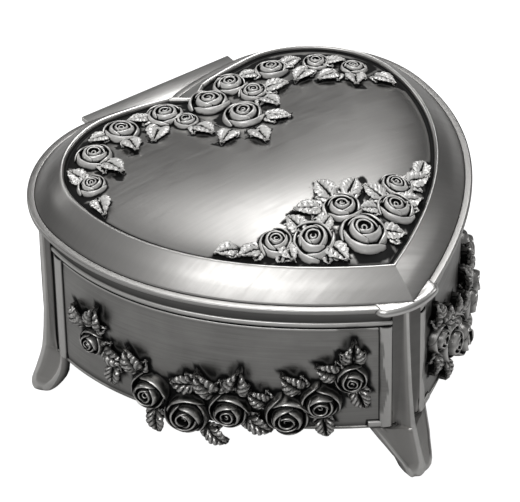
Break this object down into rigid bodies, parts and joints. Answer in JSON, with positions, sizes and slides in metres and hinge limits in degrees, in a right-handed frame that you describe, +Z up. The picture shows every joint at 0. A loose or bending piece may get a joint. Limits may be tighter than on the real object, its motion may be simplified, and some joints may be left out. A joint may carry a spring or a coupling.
{
  "type": "heart-shaped trinket box",
  "caption": "Heart-shaped footed jewelry box with a hinged domed lid, sprays of roses on the lid and rose garlands on its front panels.",
  "frame": {"origin": "on the floor, under the middle of the footprint", "axes": "+X to the right, -Y towards the tip of the heart, +Y towards the hinge, +Z up"},
  "size_m": [0.1258, 0.122, 0.0697],
  "materials": {
    "antique_pewter": "antiqued, brushed",
    "polished_relief": "antiqued, polished on the high places",
    "dark_velvet": "velvet",
    "black_felt": "felt",
    "bottom_steel": "satin",
    "hinge_metal": "plated, satin"
  },
  "bodies": {
    "box": {"box_wall": "antique_pewter", "front_foot": "antique_pewter", "left_foot": "antique_pewter", "right_foot": "antique_pewter", "rear_foot": "antique_pewter", "bottom_plate": "bottom_steel", "floor_pad": "dark_velvet", "wall_lining": "dark_velvet", "underside_felt": "black_felt", "left_garland": "polished_relief", "right_garland": "polished_relief", "body_hinge_leaf": "hinge_metal", "body_rivet_left": "hinge_metal", "body_rivet_right": "hinge_metal", "hinge_pin": "hinge_metal"},
    "lid": {"lid_shell": "antique_pewter", "lid_front_spray": "polished_relief", "lid_rear_spray": "polished_relief", "lid_lining_pad": "dark_velvet", "lid_hinge_leaf": "hinge_metal", "lid_rivet_left": "hinge_metal", "lid_rivet_right": "hinge_metal"}
  },
  "joints": [
    {"name": "lid_hinge", "type": "hinge", "parent": "box", "child": "lid", "pos_m": [0, 0.05732, 0.0517], "axis": [-1, 0, 0], "range_deg": [0, 100]}
  ]
}
